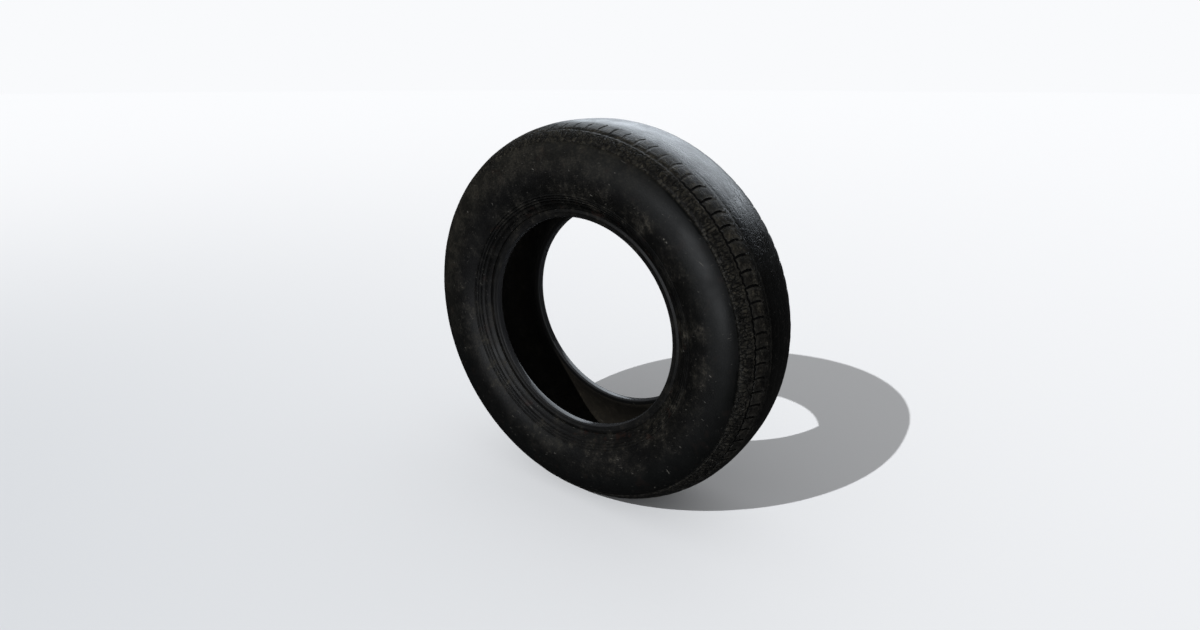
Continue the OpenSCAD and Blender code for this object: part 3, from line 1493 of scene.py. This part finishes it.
@dataclass(frozen=True)
class Studio:
    """Pale floor, one crisp key light, even light all round and soft panels to mirror."""

    floor_z: float
    floor_radius: float = 40.0
    floor_finish: MattWhitePaint = MattWhitePaint()
    backdrop: str = "#f9fafc"
    ambient: float = 0.455
    mirrored: float = 0.02
    key_strength: float = 3.06
    key_azimuth: float = 254.1
    key_elevation: float = 40.5
    key_angle: float = 0.4
    panels: tuple[Panel, ...] = (
        Panel("back", at=(103.0, 36.0, 4.0), size=(4.25, 3.0), power=146.0, tint="#edf6ff"),
        Panel("side", at=(238.0, 38.0, 4.0), size=(5.4, 2.45), power=7.5, tint="#f4f8fd"),
        Panel("front", at=(276.0, 4.0, 1.3), size=(0.85, 0.72), power=5.0, tint="#f4f8fd"),
    )
    lens: float = 19.14
    sensor: float = 36.0
    # The camera stands 35.6 degrees to the right of the wheel axis.
    camera_azimuth: float = -54.4
    camera_elevation: float = 20.3
    camera_distance: float = 1.0065
    aim: tuple[float, float, float] = (0.0018, 0.0, -0.0001)

    def build_floor(self) -> bpy.types.Object:
        """Make the floor that the tyre stands on.

        Returns:
            The floor object.
        """
        bm = bmesh.new()
        bmesh.ops.create_circle(bm, cap_ends=True, radius=self.floor_radius, segments=96)
        bmesh.ops.translate(bm, vec=(0.0, 0.0, self.floor_z), verts=bm.verts[:])
        mesh = bpy.data.meshes.new("studio_floor")
        bm.to_mesh(mesh)
        bm.free()
        floor = bpy.data.objects.new("studio_floor", mesh)
        bpy.context.scene.collection.objects.link(floor)
        mesh.materials.append(self.floor_finish.material())
        # The rubber mirrors a dark studio, so that its edges stay dark.
        floor.visible_glossy = False
        return floor

    def build_world(self) -> None:
        """Light the scene evenly, show the camera a pale backdrop and mirror a dark studio."""
        world = bpy.data.worlds.new("studio_world")
        bpy.context.scene.world = world
        world.use_nodes = True
        tree = world.node_tree
        tree.nodes.clear()
        ray = add_node(tree, "ShaderNodeLightPath").outputs
        white = (1.0, 1.0, 1.0, 1.0)
        soft, dark, seen = (
            add_node(tree, "ShaderNodeBackground", inputs={"Color": colour, "Strength": power})
            for colour, power in (
                (white, self.ambient),
                (white, self.mirrored),
                (linear(self.backdrop), 1.0),
            )
        )
        unseen = add_node(
            tree,
            "ShaderNodeMixShader",
            inputs={0: ray["Is Glossy Ray"], 1: soft.outputs[0], 2: dark.outputs[0]},
        )
        mix = add_node(
            tree,
            "ShaderNodeMixShader",
            inputs={0: ray["Is Camera Ray"], 1: unseen.outputs[0], 2: seen.outputs[0]},
        )
        add_node(tree, "ShaderNodeOutputWorld", inputs={"Surface": mix.outputs[0]})

    def build_lights(self) -> None:
        """Add the key light and the soft panels that the rubber mirrors."""
        light = bpy.data.lights.new("key", "SUN")
        light.energy = self.key_strength
        light.angle = math.radians(self.key_angle)
        key = bpy.data.objects.new("key", light)
        towards = direction(self.key_azimuth, self.key_elevation)
        key.rotation_euler = towards.to_track_quat("Z", "Y").to_euler()
        # The key only shades; what the rubber mirrors is soft.
        key.visible_glossy = False
        bpy.context.scene.collection.objects.link(key)
        for panel in self.panels:
            log.info("panel %s: %.1f W", panel.build().name, panel.power)

    def build_camera(self) -> bpy.types.Object:
        """Add the camera, to the right of the wheel axis and looking down at the tyre.

        Returns:
            The camera object.
        """
        camera = bpy.data.cameras.new("camera")
        camera.lens = self.lens
        camera.sensor_width = self.sensor
        camera.clip_start = 0.01
        camera.clip_end = 4 * self.floor_radius
        back = direction(self.camera_azimuth, self.camera_elevation)
        camera_object = bpy.data.objects.new("camera", camera)
        camera_object.location = Vector(self.aim) + back * self.camera_distance
        camera_object.rotation_euler = back.to_track_quat("Z", "Y").to_euler()
        bpy.context.scene.collection.objects.link(camera_object)
        bpy.context.scene.camera = camera_object
        return camera_object


def section_from_frame() -> TyreSection:
    """Take the tyre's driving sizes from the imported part.

    Returns:
        The section, in millimetres.
    """
    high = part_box(NODE)[1]
    seat = next(m for m in frame["record"]["mounts"] if m["name"] == "rim_seat")
    return TyreSection(
        outer_r=high[0] / MM,
        half_w=high[1] / MM,
        seat_r=seat["dims"]["r_mm"],
        seat_half_length=seat["dims"]["length_mm"] / 2,
    )


def main() -> None:
    """Build the tyre and the studio."""
    logging.basicConfig(level=logging.INFO, format="%(message)s")
    bpy.context.scene.view_settings.view_transform = "Standard"
    floor_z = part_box(NODE)[0][2]
    section = section_from_frame()
    pitches = round(2 * math.pi * section.outer_r / PITCH)
    tyre = Tyre(section, TreadPattern(pitches), WornRubber(), floor_z / MM)
    piece = tyre.build()
    log.info("%s: %d faces", piece.name, len(piece.data.polygons))
    studio = Studio(floor_z)
    log.info("%s: radius %.0f m", studio.build_floor().name, studio.floor_radius)
    studio.build_world()
    studio.build_lights()
    log.info("%s: lens %.2f mm", studio.build_camera().name, studio.lens)


if __name__ == "__main__":
    main()
